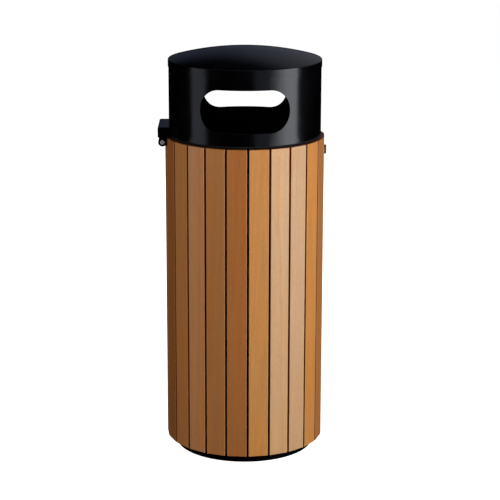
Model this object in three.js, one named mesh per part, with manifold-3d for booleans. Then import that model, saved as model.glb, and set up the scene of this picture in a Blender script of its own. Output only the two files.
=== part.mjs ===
// Round slatted litter bin: a steel frame clad in timber slats, a hinged steel hood with two
// apertures, a cam lock and a lift-out liner. Millimetres, +Z up, front towards -Y.
// The origin is the centre of the underside of the base plate.
// Azimuths are in degrees, measured from the front (-Y) towards +X.

import * as THREE from 'three';
import { mergeVertices } from 'three/addons/utils/BufferGeometryUtils.js';
import Module from 'manifold-3d';

const wasm = await Module();
wasm.setup();

// ---------------------------------------------------------------- driving dimensions

const GAP = 0.3;                       // clearance between pieces that touch

// Slat cladding
const SLAT_COUNT = 23;
const SLAT_PITCH = 360 / SLAT_COUNT;
const FRONT_GAP_AZIMUTH = 2.3;         // the joint between two slats nearest the front
const SLAT_CORNER_RADIUS = 227.4;       // outermost edges of the slat ring
const SLAT_WIDTH = 56;
const SLAT_THICKNESS = 20;
const SLAT_ARRIS = 2.2;
const SLAT_BOTTOM = 26.5;
const SLAT_TOP = 918;
const SLAT_FACE = Math.sqrt(SLAT_CORNER_RADIUS ** 2 - (SLAT_WIDTH / 2) ** 2);
const SLAT_BACK = SLAT_FACE - SLAT_THICKNESS;

// Frame
const BAR = 4;                         // thickness of the flat steel bar
const HOOP_RADIUS = SLAT_BACK - GAP;
const HOOP_INNER_RADIUS = HOOP_RADIUS - BAR;
const HOOP_HEIGHT = 50;
const HOOP_LOWEST_CENTRE = 78;
const HOOP_SPACING = 264;
const HOOP_NAMES = ['hoop_bottom', 'hoop_lower', 'hoop_upper', 'hoop_top'];
const HOOP_TOP_EDGE = HOOP_LOWEST_CENTRE + 3 * HOOP_SPACING + HOOP_HEIGHT / 2;
const UPRIGHT_WIDTH = 30;
const UPRIGHT_RADIUS = 198;            // centre line of the upright bars
const PLINTH_RADIUS = 198.5;
const PLINTH_WALL = 3;
const PLINTH_HEIGHT = 55;
const UPRIGHT_BOTTOM = PLINTH_HEIGHT + GAP;
const BASE_THICKNESS = 5;
const ANCHOR_CIRCLE_RADIUS = 140;
const ANCHOR_HOLE_RADIUS = 7;
const DRAIN_CIRCLE_RADIUS = 60;
const DRAIN_HOLE_RADIUS = 6;
const DRAIN_COUNT = 5;
const LANDING_RADIUS = 216;
const LANDING_THICKNESS = 3;
const LANDING_TOP = SLAT_TOP + GAP + LANDING_THICKNESS;

// Hood
const HOOD_RADIUS = 216.2;
const HOOD_WALL = 2;
const HOOD_BOTTOM = 924;
const HOOD_RIM = 1135.5;               // height of the edge between skirt and dome
const SKIRT_RADIUS = 217.8;
const SKIRT_WALL = SKIRT_RADIUS - HOOD_RADIUS - GAP;
const SKIRT_BOTTOM = 1115;
const DOME_RISE = 30;
const DOME_WALL = 2;
const RIM_ROUNDING = 2.5;
const STIFFENER_HEIGHT = 25;
const STIFFENER_RADIUS = HOOD_RADIUS - HOOD_WALL - GAP - 0.2;
const APERTURE_CENTRE = 1019.5;
const APERTURE_RADIUS = 59.5;          // round ends of the aperture, in the unrolled sheet
const APERTURE_HALF_LENGTH = 131.5;    // in the unrolled sheet

// Hinge, on the left
const HINGE_X = -232.2;
const HINGE_Z = 907;
const KNUCKLE_RADIUS = 12;
const HINGE_HALF_LENGTH = 66;
const BARREL_HALF_LENGTH = 22;         // the frame's knuckle, between the hood's two
const PIN_RADIUS = 5.5;
const PIN_BORE_RADIUS = 5.9;
const PIN_HEAD_RADIUS = 6.5;
const PIN_HEAD_HEIGHT = 3;
const BLOCK_OUTER_X = -245.3;
const BLOCK_BOTTOM = 921;
const BLOCK_TOP = 950;
const LEAF_BOTTOM = 897.5;
const LEAF_TOP = 905.5;
const HINGE_BOLT_Y = 44;
const HINGE_BOLT_Z = 932;
const HINGE_BOLT_RADIUS = 4;

// Lock, on the right: distances along its axis are measured from the bin's axis
const LOCK_AZIMUTH = FRONT_GAP_AZIMUTH + 5.5 * SLAT_PITCH;
const LOCK_Z = 877;
const LOCK_HEAD_RADIUS = 13.2;
const LOCK_BARREL_RADIUS = 9.5;
const LOCK_BORE_RADIUS = 6.4;
const LOCK_FACE = 232;
const LOCK_BARREL_END = 187;
const LOCK_HOLE_RADIUS = 10;
const PLUG_RADIUS = 6;
const CAM_BACK = 184.5;
const CAM_THICKNESS = 3;
const CAM_WIDTH = 14;
const CAM_REACH = 32;
const SPIGOT_WIDTH = 6.4;
const NUT_RADIUS = 13.6;
const NUT_BACK = 199.8;
const NUT_HEIGHT = 8;
const KEEPER_FACE = 190;
const KEEPER_PLATE = 3;
const KEEPER_WIDTH = 16;
const KEEPER_OFFSET = 16;              // from the lock's axis to the keeper's near edge
const KEEPER_LIP_BOTTOM = 865;
const KEEPER_LIP_REACH = 179.5;
const KEEPER_FLANGE_TOP = 948;
const KEEPER_FLANGE_BACK = 202.7;

// Liner
const LINER_RADIUS = 173.5;
const LINER_WALL = 1.5;
const LINER_FOOT = BASE_THICKNESS + GAP;
const LINER_FLOOR = 17;
const LINER_TOP = 838;
const RIM_BAND_HEIGHT = 25;
const HANDLE_PIVOT_RADIUS = 156;
const HANDLE_PIVOT_Z = 821;
const HANDLE_WIRE = 3.5;
const HANDLE_BORE = 4;
const HANDLE_DROP = 62;
const HANDLE_LEG = 34;
const HANDLE_BEND = 9;
const HANDLE_END = 57;
const CLIP_NEAR = 44;
const CLIP_FAR = 54;
const CLIP_HEIGHT = 20;
const CLIP_FACE = 149;

// Facets round a full circle
const ROUND = 60;
const FRAME_ROUND = 2 * SLAT_COUNT;
const LINER_ROUND = 48;
const SMALL_ROUND = 32;

// ---------------------------------------------------------------- materials

const finish = (color, roughness, metalness) =>
  new THREE.MeshStandardMaterial({ color, roughness, metalness });

const TIMBER = finish(0xb5733f, 0.5, 0);
const BLACK_COAT = finish(0x0c0d10, 0.38, 0.1);
const FRAME_COAT = finish(0x111214, 0.55, 0.1);
const ZINC = finish(0xa9adb0, 0.45, 0.9);
const LOCK_METAL = finish(0x2a2622, 0.35, 0.9);
const RUBBER = finish(0x151515, 0.85, 0);

// ---------------------------------------------------------------- helpers

const radians = THREE.MathUtils.degToRad;

/** A closed geometry as a manifold solid. */
function solid(geometry) {
  const bare = geometry.clone();
  bare.deleteAttribute('normal');
  bare.deleteAttribute('uv');
  const merged = mergeVertices(bare, 1e-4);
  return new wasm.Manifold(new wasm.Mesh({
    numProp: 3,
    vertProperties: new Float32Array(merged.attributes.position.array),
    triVerts: new Uint32Array(merged.index.array),
  }));
}

/** A manifold solid as a three.js geometry. */
function geometryOf(manifold) {
  const mesh = manifold.getMesh();
  const geometry = new THREE.BufferGeometry();
  geometry.setAttribute('position', new THREE.BufferAttribute(mesh.vertProperties, 3));
  geometry.setIndex(new THREE.BufferAttribute(mesh.triVerts, 1));
  geometry.computeVertexNormals();
  return geometry;
}

const cut = (geometry, ...tools) =>
  geometryOf(tools.reduce((rest, tool) => rest.subtract(solid(tool)), solid(geometry)));

const join = (...geometries) =>
  geometryOf(geometries.map(solid).reduce((sum, next) => sum.add(next)));

const common = (geometry, tool) => geometryOf(solid(geometry).intersect(solid(tool)));

/** Cuts a mesh in place with tools given in the bin's own frame. */
function cutPlaced(mesh, ...tools) {
  mesh.updateMatrix();
  const toLocal = mesh.matrix.clone().invert();
  mesh.geometry = cut(mesh.geometry, ...tools.map((tool) => tool.clone().applyMatrix4(toLocal)));
}

/** A ring or disc turned about Z from [radius, height] points, listed anticlockwise. */
function turned(points, segments, closed = true) {
  const outline = closed ? [...points, points[0]] : points;
  const profile = outline.map(([radius, height]) => new THREE.Vector2(radius, height));
  return new THREE.LatheGeometry(profile, segments).rotateX(Math.PI / 2);
}

/** The same, turned about Y: for pins and locks. */
function turnedAboutY(points, segments, closed = true) {
  const outline = closed ? [...points, points[0]] : points;
  return new THREE.LatheGeometry(outline.map(([r, y]) => new THREE.Vector2(r, y)), segments);
}

/** A flat ring of rectangular section about Z. */
const band = (inner, outer, bottom, top, segments) =>
  turned([[inner, bottom], [outer, bottom], [outer, top], [inner, top]], segments);

/** A box from its lowest to its highest corner. */
function block(low, high) {
  const size = high.map((value, axis) => value - low[axis]);
  const centre = high.map((value, axis) => (value + low[axis]) / 2);
  return new THREE.BoxGeometry(...size).translate(...centre);
}

/** A cylinder along Y between two y values. */
const rodAlongY = (radius, low, high, segments = SMALL_ROUND) =>
  new THREE.CylinderGeometry(radius, radius, high - low, segments)
    .translate(0, (low + high) / 2, 0);

/** A cylinder along X between two x values. */
const rodAlongX = (radius, low, high, segments = SMALL_ROUND) =>
  rodAlongY(radius, -high, -low, segments).rotateZ(Math.PI / 2);

/** A cylinder along Z between two heights. */
const rodAlongZ = (radius, low, high, segments) =>
  rodAlongY(radius, low, high, segments).rotateX(Math.PI / 2);

const extrude = (shape, depth, curveSegments = 6) =>
  new THREE.ExtrudeGeometry(shape, { depth, bevelEnabled: false, curveSegments });

/** An outline in the XZ plane, extruded between two y values. */
const extrudeAlongY = (shape, low, high, curveSegments) =>
  extrude(shape, high - low, curveSegments).rotateX(Math.PI / 2).translate(0, high, 0);

/** The corners of a regular polygon about the origin, anticlockwise. */
function polygon(radius, corners) {
  return Array.from({ length: corners }, (_, index) => {
    const turn = (2 * Math.PI * index) / corners;
    return new THREE.Vector2(radius * Math.cos(turn), radius * Math.sin(turn));
  });
}

function circleHole(shape, x, y, radius) {
  const hole = new THREE.Path();
  hole.absarc(x, y, radius, 0, 2 * Math.PI, true);
  shape.holes.push(hole);
}

const bin = new THREE.Group();

function add(name, geometry, material, parent = bin) {
  const mesh = new THREE.Mesh(geometry, material);
  mesh.name = name;
  parent.add(mesh);
  return mesh;
}

/** Puts a mesh whose outer side is -Y at an azimuth round the bin. */
function placeAround(mesh, azimuth, radius = 0) {
  const turn = radians(azimuth);
  mesh.position.set(radius * Math.sin(turn), -radius * Math.cos(turn), 0);
  mesh.rotation.z = turn;
}

// ---------------------------------------------------------------- slats

/** Plan outline of a slat: face at y = 0, edges planed so the joints stay parallel. */
function slatOutline() {
  const half = SLAT_WIDTH / 2;
  const backHalf = half - SLAT_THICKNESS * Math.tan(radians(SLAT_PITCH / 2));
  const shape = new THREE.Shape();
  shape.moveTo(backHalf, SLAT_THICKNESS);
  shape.lineTo(-backHalf, SLAT_THICKNESS);
  shape.lineTo(-half, SLAT_ARRIS);
  shape.quadraticCurveTo(-half, 0, -half + SLAT_ARRIS, 0);
  shape.lineTo(half - SLAT_ARRIS, 0);
  shape.quadraticCurveTo(half, 0, half, SLAT_ARRIS);
  return shape;
}

/** Room in the slats for the hinge: a shallow rebate for its knuckles, a slot for its leaf. */
function hingeRecess() {
  const top = SLAT_TOP + 10;
  const rebateHalf = HINGE_HALF_LENGTH + 4;
  const slotHalf = BARREL_HALF_LENGTH + 2;
  return [
    block([-260, -rebateHalf, HINGE_Z - KNUCKLE_RADIUS - 1.5],
      [HINGE_X + KNUCKLE_RADIUS + 0.8, rebateHalf, top]),
    block([-260, -slotHalf, LEAF_BOTTOM - 1], [-150, slotHalf, top]),
  ];
}

/** A radial drill for the lock's hole. */
const lockDrill = () =>
  rodAlongY(LOCK_HOLE_RADIUS, -260, -150).translate(0, 0, LOCK_Z).rotateZ(radians(LOCK_AZIMUTH));

function addSlats() {
  const outline = extrude(slatOutline(), SLAT_TOP - SLAT_BOTTOM, 3).translate(0, 0, SLAT_BOTTOM);
  for (let index = 0; index < SLAT_COUNT; index += 1) {
    const azimuth = FRONT_GAP_AZIMUTH + (index + 0.5) * SLAT_PITCH;
    const mesh = add(`slat_${String(index + 1).padStart(2, '0')}`, outline, TIMBER);
    placeAround(mesh, azimuth, SLAT_FACE);
    if (Math.abs(azimuth - 270) < 2 * SLAT_PITCH) {
      cutPlaced(mesh, ...hingeRecess());
    }
    if (Math.abs(azimuth - LOCK_AZIMUTH) < 1) {
      cutPlaced(mesh, lockDrill());
    }
  }
}

// ---------------------------------------------------------------- frame

function addHoops() {
  HOOP_NAMES.forEach((name, index) => {
    const centre = HOOP_LOWEST_CENTRE + index * HOOP_SPACING;
    const hoop = band(HOOP_INNER_RADIUS, HOOP_RADIUS, centre - HOOP_HEIGHT / 2,
      centre + HOOP_HEIGHT / 2, FRAME_ROUND);
    add(name, name === 'hoop_top' ? cut(hoop, lockDrill()) : hoop, FRAME_COAT);
  });
}

function addUprights() {
  const height = LANDING_TOP - LANDING_THICKNESS - 1 - UPRIGHT_BOTTOM;
  const bar = new THREE.BoxGeometry(UPRIGHT_WIDTH, BAR, height)
    .translate(0, 0, UPRIGHT_BOTTOM + height / 2);
  for (let index = 0; index < 4; index += 1) {
    placeAround(add(`upright_${index + 1}`, bar, FRAME_COAT), 45 + 90 * index, UPRIGHT_RADIUS);
  }
}

/** Disc on the ground inside the plinth, drilled for ground anchors and for drainage. */
function basePlate() {
  const disc = new THREE.Shape(polygon(PLINTH_RADIUS - PLINTH_WALL - 1.5, FRAME_ROUND));
  const drill = (count, circle, radius, start) => {
    for (let index = 0; index < count; index += 1) {
      const turn = start + (2 * Math.PI * index) / count;
      circleHole(disc, circle * Math.cos(turn), circle * Math.sin(turn), radius);
    }
  };
  drill(4, ANCHOR_CIRCLE_RADIUS, ANCHOR_HOLE_RADIUS, Math.PI / 4);
  drill(DRAIN_COUNT, DRAIN_CIRCLE_RADIUS, DRAIN_HOLE_RADIUS, Math.PI / 2);
  return extrude(disc, BASE_THICKNESS, 8);
}

/** Rolled angle on top of the frame that carries the hood. */
const landingRing = () => turned([
  [HOOP_INNER_RADIUS, HOOP_TOP_EDGE + GAP],
  [HOOP_RADIUS, HOOP_TOP_EDGE + GAP],
  [HOOP_RADIUS, LANDING_TOP - LANDING_THICKNESS],
  [LANDING_RADIUS, LANDING_TOP - LANDING_THICKNESS],
  [LANDING_RADIUS, LANDING_TOP],
  [HOOP_INNER_RADIUS, LANDING_TOP],
], FRAME_ROUND);

function addBase() {
  add('base_plate', basePlate(), FRAME_COAT);
  add('plinth_band', band(PLINTH_RADIUS - PLINTH_WALL, PLINTH_RADIUS, 0, PLINTH_HEIGHT,
    FRAME_ROUND), BLACK_COAT);
}

function addLanding() {
  add('landing_ring', landingRing(), FRAME_COAT);
  add('landing_gasket', band(LANDING_RADIUS - 9, LANDING_RADIUS, LANDING_TOP + GAP,
    HOOD_BOTTOM - GAP, FRAME_ROUND), RUBBER);
}

// ---------------------------------------------------------------- hinge

/** Barrel and leaf of the frame's half of the hinge; the leaf is welded to the landing ring. */
function hingeBracket() {
  const barrel = rodAlongY(KNUCKLE_RADIUS, -BARREL_HALF_LENGTH, BARREL_HALF_LENGTH)
    .translate(HINGE_X, 0, HINGE_Z);
  const leaf = block([HINGE_X, -BARREL_HALF_LENGTH, LEAF_BOTTOM],
    [-HOOP_RADIUS + 8, BARREL_HALF_LENGTH, LEAF_TOP]);
  const ringSide = rodAlongZ(HOOP_RADIUS + GAP, LEAF_BOTTOM - 5, LEAF_TOP + 5, 4 * SLAT_COUNT);
  return cut(join(barrel, leaf), ringSide, pinBore());
}

const pinBore = () =>
  rodAlongY(PIN_BORE_RADIUS, -HINGE_HALF_LENGTH - 9, HINGE_HALF_LENGTH + 9)
    .translate(HINGE_X, 0, HINGE_Z);

/** End view of the hood's hinge block, in the XZ plane. */
function hingeBlockOutline() {
  const shape = new THREE.Shape();
  shape.moveTo(BLOCK_OUTER_X + 1.5, BLOCK_BOTTOM);
  shape.lineTo(-195, BLOCK_BOTTOM);
  shape.lineTo(-195, BLOCK_TOP);
  shape.lineTo(BLOCK_OUTER_X + 2.5, BLOCK_TOP);
  shape.lineTo(BLOCK_OUTER_X, BLOCK_TOP - 2.5);
  shape.lineTo(BLOCK_OUTER_X, BLOCK_BOTTOM + 1.5);
  return shape;
}

/** One knuckle under the block, with the neck that joins them. */
function hoodKnuckle(low, high) {
  const round = rodAlongY(KNUCKLE_RADIUS, low, high).translate(HINGE_X, 0, HINGE_Z);
  const neck = block([HINGE_X - KNUCKLE_RADIUS + 2, low, HINGE_Z],
    [HINGE_X + KNUCKLE_RADIUS - 1, high, BLOCK_BOTTOM + 2]);
  return join(round, neck);
}

function hingeBlock() {
  const hoodSide = rodAlongZ(HOOD_RADIUS + 0.4, HINGE_Z, BLOCK_TOP + 20, 2 * ROUND);
  const inner = BARREL_HALF_LENGTH + 0.5;
  return cut(
    join(
      extrudeAlongY(hingeBlockOutline(), -HINGE_HALF_LENGTH, HINGE_HALF_LENGTH),
      hoodKnuckle(-HINGE_HALF_LENGTH, -inner),
      hoodKnuckle(inner, HINGE_HALF_LENGTH),
    ),
    hoodSide, pinBore(), ...hingeBoltHoles(HINGE_BOLT_RADIUS + GAP),
  );
}

const hingePin = () => {
  const end = HINGE_HALF_LENGTH + 0.4;
  const tip = end + PIN_HEAD_HEIGHT;
  const tipRadius = PIN_HEAD_RADIUS - 1.5;
  return turnedAboutY([
    [0, -tip], [tipRadius, -tip], [PIN_HEAD_RADIUS, -tip + 1.5], [PIN_HEAD_RADIUS, -end],
    [PIN_RADIUS, -end], [PIN_RADIUS, end],
    [PIN_HEAD_RADIUS, end], [PIN_HEAD_RADIUS, tip - 1.5], [tipRadius, tip], [0, tip],
  ], SMALL_ROUND, false).translate(HINGE_X, 0, HINGE_Z);
};

/** Holes through the hood's wall for the two bolts that hold the hinge block. */
const hingeBoltHoles = (radius) => [-1, 1].map((side) =>
  rodAlongX(radius, -236, -190, 12).translate(0, side * HINGE_BOLT_Y, HINGE_BOLT_Z));

/** Bolt from inside the hood into the hinge block. */
function hingeBolt(side) {
  const headFace = Math.sqrt((STIFFENER_RADIUS - BAR) ** 2 - (HINGE_BOLT_Y + 8) ** 2) - 1;
  const shank = rodAlongX(HINGE_BOLT_RADIUS, -234, -headFace, 12);
  const head = rodAlongX(7, -headFace, -headFace + 5.5, 6);
  return join(shank, head).translate(0, side * HINGE_BOLT_Y, HINGE_BOLT_Z);
}

function addHinge() {
  add('hinge_bracket', hingeBracket(), BLACK_COAT);
  add('hinge_block', hingeBlock(), BLACK_COAT);
  add('hinge_pin', hingePin(), ZINC);
  add('hinge_bolt_front', hingeBolt(-1), ZINC);
  add('hinge_bolt_rear', hingeBolt(1), ZINC);
}

// ---------------------------------------------------------------- hood

/** A radial cutter with the aperture's outline, wrapped round the hood. */
function apertureCutter(azimuth) {
  const straight = APERTURE_HALF_LENGTH - APERTURE_RADIUS;
  const shape = new THREE.Shape();
  shape.absarc(straight, APERTURE_CENTRE, APERTURE_RADIUS, -Math.PI / 2, Math.PI / 2);
  shape.absarc(-straight, APERTURE_CENTRE, APERTURE_RADIUS, Math.PI / 2, 1.5 * Math.PI);
  const inner = 100;
  const depth = 220;
  const cutter = extrude(shape, depth, 12);
  const position = cutter.attributes.position;
  for (let index = 0; index < position.count; index += 1) {
    const turn = position.getX(index) / HOOD_RADIUS;
    const radius = inner + position.getZ(index);
    position.setXYZ(index, radius * Math.sin(turn), -radius * Math.cos(turn),
      position.getY(index));
  }
  return cutter.rotateZ(radians(azimuth));
}

/** Height of the dome's outer face over a radius. */
function domeHeight(radius) {
  const sphere = (SKIRT_RADIUS ** 2 + DOME_RISE ** 2) / (2 * DOME_RISE);
  return HOOD_RIM + DOME_RISE - sphere + Math.sqrt(sphere ** 2 - radius ** 2);
}

/** The dome's outer or inner face, from its edge to the axis. */
function domeFace(edgeRadius, drop, steps) {
  const points = [];
  for (let step = 0; step <= steps; step += 1) {
    const radius = edgeRadius * (1 - step / steps);
    points.push([radius, domeHeight(radius) - drop]);
  }
  return points;
}

function domeCap() {
  const inside = SKIRT_RADIUS - SKIRT_WALL;
  const shoulder = SKIRT_RADIUS - RIM_ROUNDING;
  return turned([
    ...domeFace(inside - 1, DOME_WALL, 3).reverse(),
    [inside, HOOD_RIM - DOME_WALL - 1],
    [inside, SKIRT_BOTTOM],
    [SKIRT_RADIUS, SKIRT_BOTTOM],
    [SKIRT_RADIUS, HOOD_RIM - RIM_ROUNDING],
    [SKIRT_RADIUS - 0.3 * RIM_ROUNDING, HOOD_RIM - 0.3 * RIM_ROUNDING],
    ...domeFace(shoulder, 0, 6),
  ], ROUND, false);
}

function addHood() {
  const shell = band(HOOD_RADIUS - HOOD_WALL, HOOD_RADIUS, HOOD_BOTTOM,
    HOOD_RIM - DOME_WALL - 2.5, ROUND);
  const stiffener = band(STIFFENER_RADIUS - BAR, STIFFENER_RADIUS, HOOD_BOTTOM + GAP,
    HOOD_BOTTOM + STIFFENER_HEIGHT, ROUND);
  const boltHoles = hingeBoltHoles(HINGE_BOLT_RADIUS + GAP);
  add('hood_shell', cut(shell, apertureCutter(0), apertureCutter(180), ...boltHoles), BLACK_COAT);
  add('hood_stiffener', cut(stiffener, ...boltHoles), BLACK_COAT);
  add('dome_cap', domeCap(), BLACK_COAT);
}

// ---------------------------------------------------------------- lock

const lockHousing = () => turnedAboutY([
  [LOCK_BORE_RADIUS, -LOCK_FACE],
  [LOCK_HEAD_RADIUS - 2, -LOCK_FACE],
  [LOCK_HEAD_RADIUS, -LOCK_FACE + 2],
  [LOCK_HEAD_RADIUS, -SLAT_FACE - GAP],
  [LOCK_BARREL_RADIUS, -SLAT_FACE - GAP],
  [LOCK_BARREL_RADIUS, -LOCK_BARREL_END],
  [LOCK_BORE_RADIUS, -LOCK_BARREL_END],
], 24);

function lockNut() {
  const hexagon = new THREE.Shape(polygon(NUT_RADIUS, 6));
  circleHole(hexagon, 0, 0, LOCK_BARREL_RADIUS + GAP);
  return extrudeAlongY(hexagon, -NUT_BACK, -NUT_BACK + NUT_HEIGHT, 10);
}

/** Turning part of the lock: key face outside, square spigot for the cam inside. */
function lockPlug() {
  const half = SPIGOT_WIDTH / 2;
  const spigotEnd = CAM_BACK - CAM_THICKNESS + 0.2;
  const body = rodAlongY(PLUG_RADIUS, -LOCK_FACE + 0.6, -CAM_BACK - GAP);
  const spigot = block([-half, -CAM_BACK - 2, -half], [half, -spigotEnd, half]);
  const keySlot = block([-1, -LOCK_FACE, -4], [1, -LOCK_FACE + 3.5, 4]);
  const screwHole = rodAlongY(1.9, -CAM_BACK - 8, -spigotEnd + 1, 10);
  return cut(join(body, spigot), keySlot, screwHole);
}

/** The cam stands up when unlocked and lies level over the keeper's lip when locked. */
function lockCam() {
  const half = CAM_WIDTH / 2;
  const hole = SPIGOT_WIDTH / 2 + GAP;
  const shape = new THREE.Shape();
  shape.moveTo(half, CAM_REACH - 2);
  shape.lineTo(half - 2, CAM_REACH);
  shape.lineTo(-half + 2, CAM_REACH);
  shape.lineTo(-half, CAM_REACH - 2);
  shape.lineTo(-half - 1, 0);
  shape.absarc(0, 0, half + 1, Math.PI, 2 * Math.PI);
  shape.holes.push(new THREE.Path([[-hole, -hole], [-hole, hole], [hole, hole], [hole, -hole]]
    .map(([x, y]) => new THREE.Vector2(x, y))));
  return extrudeAlongY(shape, -CAM_BACK, -CAM_BACK + CAM_THICKNESS);
}

function camScrew() {
  const seat = -CAM_BACK + CAM_THICKNESS + GAP;
  return turnedAboutY([
    [0, -CAM_BACK - 6], [1.5, -CAM_BACK - 6], [1.5, seat], [5.5, seat],
    [5.5, seat + 1.6], [4.5, seat + 2.4], [0, seat + 2.4],
  ], 16, false);
}

/** Bent plate under the hood, shaped to its stiffener; its lip passes below the locked cam. */
function lockKeeper() {
  const bend = HOOD_BOTTOM + 4;
  const stiffenerFace = STIFFENER_RADIUS - BAR;
  const back = KEEPER_FACE - KEEPER_PLATE;
  const outline = [
    [KEEPER_LIP_REACH, KEEPER_LIP_BOTTOM],
    [KEEPER_FACE, KEEPER_LIP_BOTTOM],
    [KEEPER_FACE, bend],
    [stiffenerFace + 3, bend],
    [stiffenerFace + 3, KEEPER_FLANGE_TOP],
    [KEEPER_FLANGE_BACK, KEEPER_FLANGE_TOP],
    [KEEPER_FLANGE_BACK, bend + KEEPER_PLATE],
    [back, bend + KEEPER_PLATE],
    [back, KEEPER_LIP_BOTTOM + KEEPER_PLATE],
    [KEEPER_LIP_REACH, KEEPER_LIP_BOTTOM + KEEPER_PLATE],
  ];
  const shape = new THREE.Shape(outline.map(([x, y]) => new THREE.Vector2(x, y)));
  const plate = extrude(shape, KEEPER_WIDTH).rotateX(Math.PI / 2).rotateZ(-Math.PI / 2)
    .translate(KEEPER_OFFSET + KEEPER_WIDTH, 0, 0);
  return common(plate, rodAlongZ(stiffenerFace - 2 * GAP, 800, 1000, 2 * ROUND));
}

function addLock() {
  const lock = new THREE.Group();
  lock.rotation.z = radians(LOCK_AZIMUTH);
  bin.add(lock);
  const onAxis = (name, geometry, material) => {
    add(name, geometry, material, lock).position.z = LOCK_Z;
  };
  onAxis('lock_housing', lockHousing(), LOCK_METAL);
  onAxis('lock_nut', lockNut(), ZINC);
  onAxis('lock_plug', lockPlug(), LOCK_METAL);
  onAxis('lock_cam', lockCam(), ZINC);
  onAxis('cam_screw', camScrew(), ZINC);
  add('lock_keeper', lockKeeper(), BLACK_COAT, lock);
}

// ---------------------------------------------------------------- liner

const linerShell = () => {
  const inside = LINER_RADIUS - LINER_WALL;
  return turned([
    [0, LINER_FLOOR], [inside, LINER_FLOOR], [inside, LINER_FOOT], [LINER_RADIUS, LINER_FOOT],
    [LINER_RADIUS, LINER_TOP], [inside, LINER_TOP],
    [inside, LINER_FLOOR + LINER_WALL], [0, LINER_FLOOR + LINER_WALL],
  ], LINER_ROUND, false);
};

/** Bracket on the liner's inner wall that holds one end of a handle. */
function handleClip(side) {
  const near = side * CLIP_NEAR;
  const far = side * CLIP_FAR;
  const half = CLIP_HEIGHT / 2;
  const body = block(
    [Math.min(near, far), -LINER_RADIUS, HANDLE_PIVOT_Z - half],
    [Math.max(near, far), -CLIP_FACE, HANDLE_PIVOT_Z + half],
  );
  const wallSide = rodAlongZ(LINER_RADIUS - LINER_WALL - 0.7, HANDLE_PIVOT_Z - CLIP_HEIGHT,
    HANDLE_PIVOT_Z + CLIP_HEIGHT, 2 * LINER_ROUND);
  const bore = rodAlongX(HANDLE_BORE, -CLIP_FAR - 9, CLIP_FAR + 9, 16)
    .translate(0, -HANDLE_PIVOT_RADIUS, HANDLE_PIVOT_Z);
  return cut(common(body, wallSide), bore);
}

/** Centre line of a handle that hangs straight down from its pivot. */
function handlePath() {
  const grip = -HANDLE_DROP;
  const point = (x, z) => new THREE.Vector3(x, 0, z);
  const path = new THREE.CurvePath();
  const line = (from, to) => path.add(new THREE.LineCurve3(from, to));
  const bend = (from, corner, to) => path.add(new THREE.QuadraticBezierCurve3(from, corner, to));
  line(point(-HANDLE_END, 0), point(-HANDLE_LEG - HANDLE_BEND, 0));
  bend(point(-HANDLE_LEG - HANDLE_BEND, 0), point(-HANDLE_LEG, 0), point(-HANDLE_LEG, -HANDLE_BEND));
  line(point(-HANDLE_LEG, -HANDLE_BEND), point(-HANDLE_LEG, grip + HANDLE_BEND));
  bend(point(-HANDLE_LEG, grip + HANDLE_BEND), point(-HANDLE_LEG, grip),
    point(-HANDLE_LEG + HANDLE_BEND, grip));
  line(point(-HANDLE_LEG + HANDLE_BEND, grip), point(HANDLE_LEG - HANDLE_BEND, grip));
  bend(point(HANDLE_LEG - HANDLE_BEND, grip), point(HANDLE_LEG, grip),
    point(HANDLE_LEG, grip + HANDLE_BEND));
  line(point(HANDLE_LEG, grip + HANDLE_BEND), point(HANDLE_LEG, -HANDLE_BEND));
  bend(point(HANDLE_LEG, -HANDLE_BEND), point(HANDLE_LEG, 0), point(HANDLE_LEG + HANDLE_BEND, 0));
  line(point(HANDLE_LEG + HANDLE_BEND, 0), point(HANDLE_END, 0));
  return path;
}

function handle() {
  const wire = new THREE.Shape();
  wire.absarc(0, 0, HANDLE_WIRE, 0, 2 * Math.PI);
  return new THREE.ExtrudeGeometry(wire, {
    extrudePath: handlePath(), steps: 40, curveSegments: 4, bevelEnabled: false,
  });
}

function addLiner() {
  add('liner_shell', linerShell(), ZINC);
  add('liner_rim_band', band(LINER_RADIUS + GAP, LINER_RADIUS + GAP + BAR,
    LINER_TOP - RIM_BAND_HEIGHT, LINER_TOP, LINER_ROUND), ZINC);
  ['front', 'rear'].forEach((place, index) => {
    const side = new THREE.Group();
    side.rotation.z = index * Math.PI;
    bin.add(side);
    add(`handle_clip_${place}_left`, handleClip(-1), ZINC, side);
    add(`handle_clip_${place}_right`, handleClip(1), ZINC, side);
    add(`handle_${place}`, handle(), ZINC, side)
      .position.set(0, -HANDLE_PIVOT_RADIUS, HANDLE_PIVOT_Z);
  });
}

// ---------------------------------------------------------------- assembly

addBase();
addHoops();
addUprights();
addSlats();
addLanding();
addHinge();
addHood();
addLock();
addLiner();

export default bin;
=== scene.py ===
"""Round slatted litter bin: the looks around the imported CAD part. Metres, +Z up, front towards -Y."""

import math
import random

import bmesh
import bpy
from mathutils import Matrix, Vector


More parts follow.
